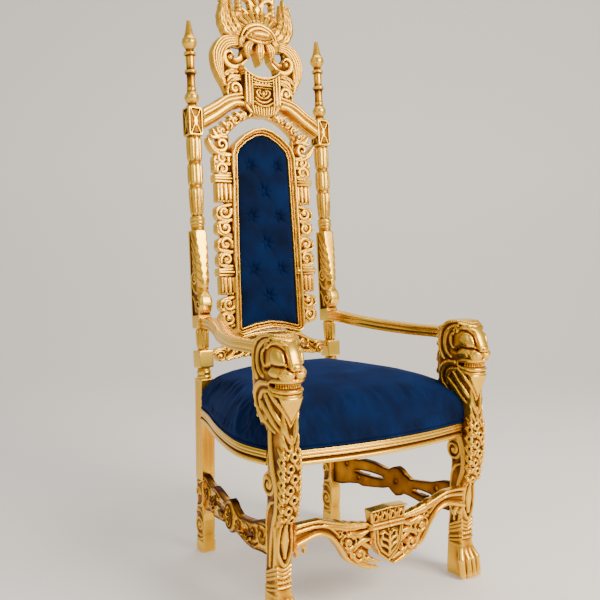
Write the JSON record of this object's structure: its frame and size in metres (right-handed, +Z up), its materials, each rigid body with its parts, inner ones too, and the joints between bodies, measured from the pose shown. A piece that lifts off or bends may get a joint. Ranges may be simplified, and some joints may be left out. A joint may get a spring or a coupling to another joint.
{
  "type": "throne",
  "caption": "Tall carved and gilded armchair throne with lion-headed front legs, a pierced crest and blue velvet upholstery.",
  "frame": {"origin": "on the floor, under the middle of the throne's bounding box", "axes": "+Z up, -Y the way the throne faces, +X to the right as seen from in front"},
  "size_m": [0.709, 0.7582, 1.8013],
  "materials": {
    "gilded_wood": "carved wood painted a satin metallic gold",
    "velvet": "deep blue velvet, short pile"
  },
  "bodies": {
    "root": {"back_post_left": "gilded_wood", "back_post_right": "gilded_wood", "front_leg_left": "gilded_wood", "front_leg_right": "gilded_wood", "arm_left": "gilded_wood", "arm_right": "gilded_wood", "crest": "gilded_wood", "back_frame": "gilded_wood", "back_pad": "velvet", "lower_rail": "gilded_wood", "seat_rail_front": "gilded_wood", "seat_rail_back": "gilded_wood", "seat_rail_right": "gilded_wood", "seat_rail_left": "gilded_wood", "seat_cushion": "velvet", "stretcher_front": "gilded_wood", "stretcher_right": "gilded_wood", "stretcher_left": "gilded_wood"}
  },
  "joints": []
}
